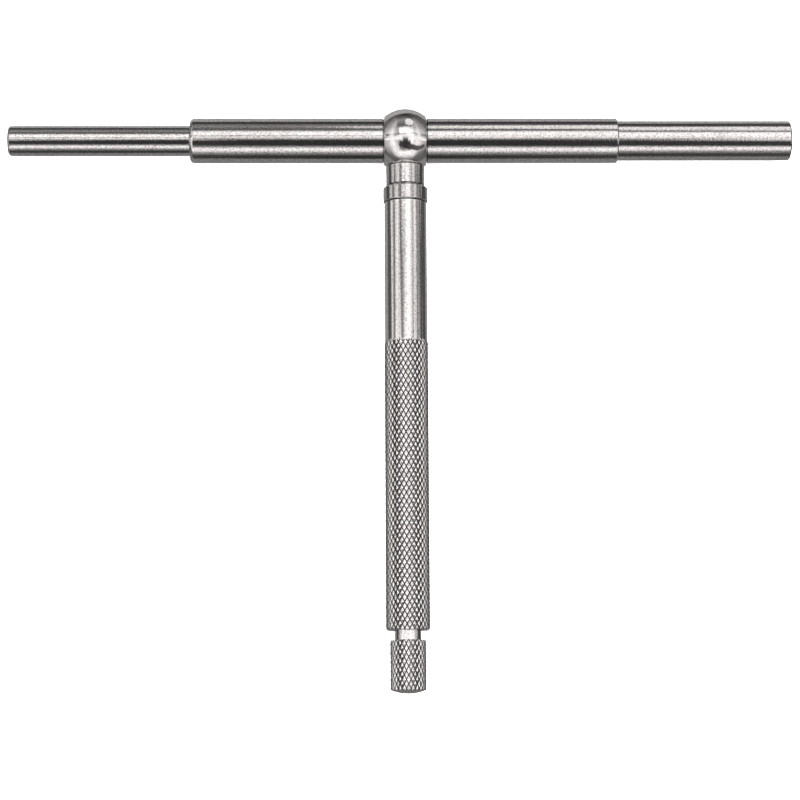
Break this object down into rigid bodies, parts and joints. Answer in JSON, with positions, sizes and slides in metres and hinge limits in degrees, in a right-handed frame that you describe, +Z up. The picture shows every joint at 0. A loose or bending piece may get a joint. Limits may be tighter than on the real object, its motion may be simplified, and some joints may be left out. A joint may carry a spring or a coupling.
{
  "type": "telescoping bore gauge",
  "caption": "T-shaped telescoping gauge with a knurled handle; spring-loaded plungers take the size of a bore and a screw locks them.",
  "frame": {"origin": "on the surface the gauge lies on, under the middle of its bounding box with both plungers out", "axes": "+X along the cross tube towards the thick plunger, +Y from the handle towards the cross tube, +Z up from the surface"},
  "size_m": [0.1524, 0.113, 0.0124],
  "materials": {
    "ground_steel": "ground, satin",
    "polished_steel": "polished",
    "knurled_steel": "smooth above, diamond knurl below",
    "hardened_steel": "ground and lapped",
    "spring_steel": "drawn wire, oiled"
  },
  "bodies": {
    "gauge_body": {"cross_tube": "ground_steel", "head_ball": "polished_steel", "neck_stud": "polished_steel", "neck_collar": "polished_steel", "handle_tube": "knurled_steel", "stop_pin": "hardened_steel", "plunger_spring_left": "spring_steel", "plunger_spring_right": "spring_steel", "lock_rod_spring": "spring_steel"},
    "small_plunger": {"small_plunger": "ground_steel", "small_contact_tip": "hardened_steel"},
    "large_plunger": {"large_plunger": "ground_steel", "large_contact_tip": "hardened_steel"},
    "lock_rod": {"lock_rod": "hardened_steel", "lock_shoe": "hardened_steel"},
    "lock_screw": {"lock_screw": "knurled_steel"}
  },
  "joints": [
    {"name": "small_plunger_slide", "type": "slide", "parent": "gauge_body", "child": "small_plunger", "axis": [1, 0, 0], "range_m": [0, 0.0318], "stiffness_N_per_m": 50, "springref_m": -0.03, "deforming": ["plunger_spring_left"]},
    {"name": "large_plunger_slide", "type": "slide", "parent": "gauge_body", "child": "large_plunger", "axis": [-1, 0, 0], "range_m": [0, 0.0317], "stiffness_N_per_m": 50, "springref_m": -0.03, "deforming": ["plunger_spring_right"]},
    {"name": "lock_travel", "type": "slide", "parent": "gauge_body", "child": "lock_rod", "axis": [0, -1, 0], "range_m": [0, 0.0009], "deforming": ["lock_rod_spring"]},
    {"name": "lock_turn", "type": "hinge", "parent": "lock_rod", "child": "lock_screw", "pos_m": [0.0009, -0.04965, 0.0062], "axis": [0, -1, 0], "range_deg": [0, 540]}
  ],
  "couplings": [
    {"joint": "lock_turn", "follows": "lock_travel", "rad_per_m": 10472}
  ]
}
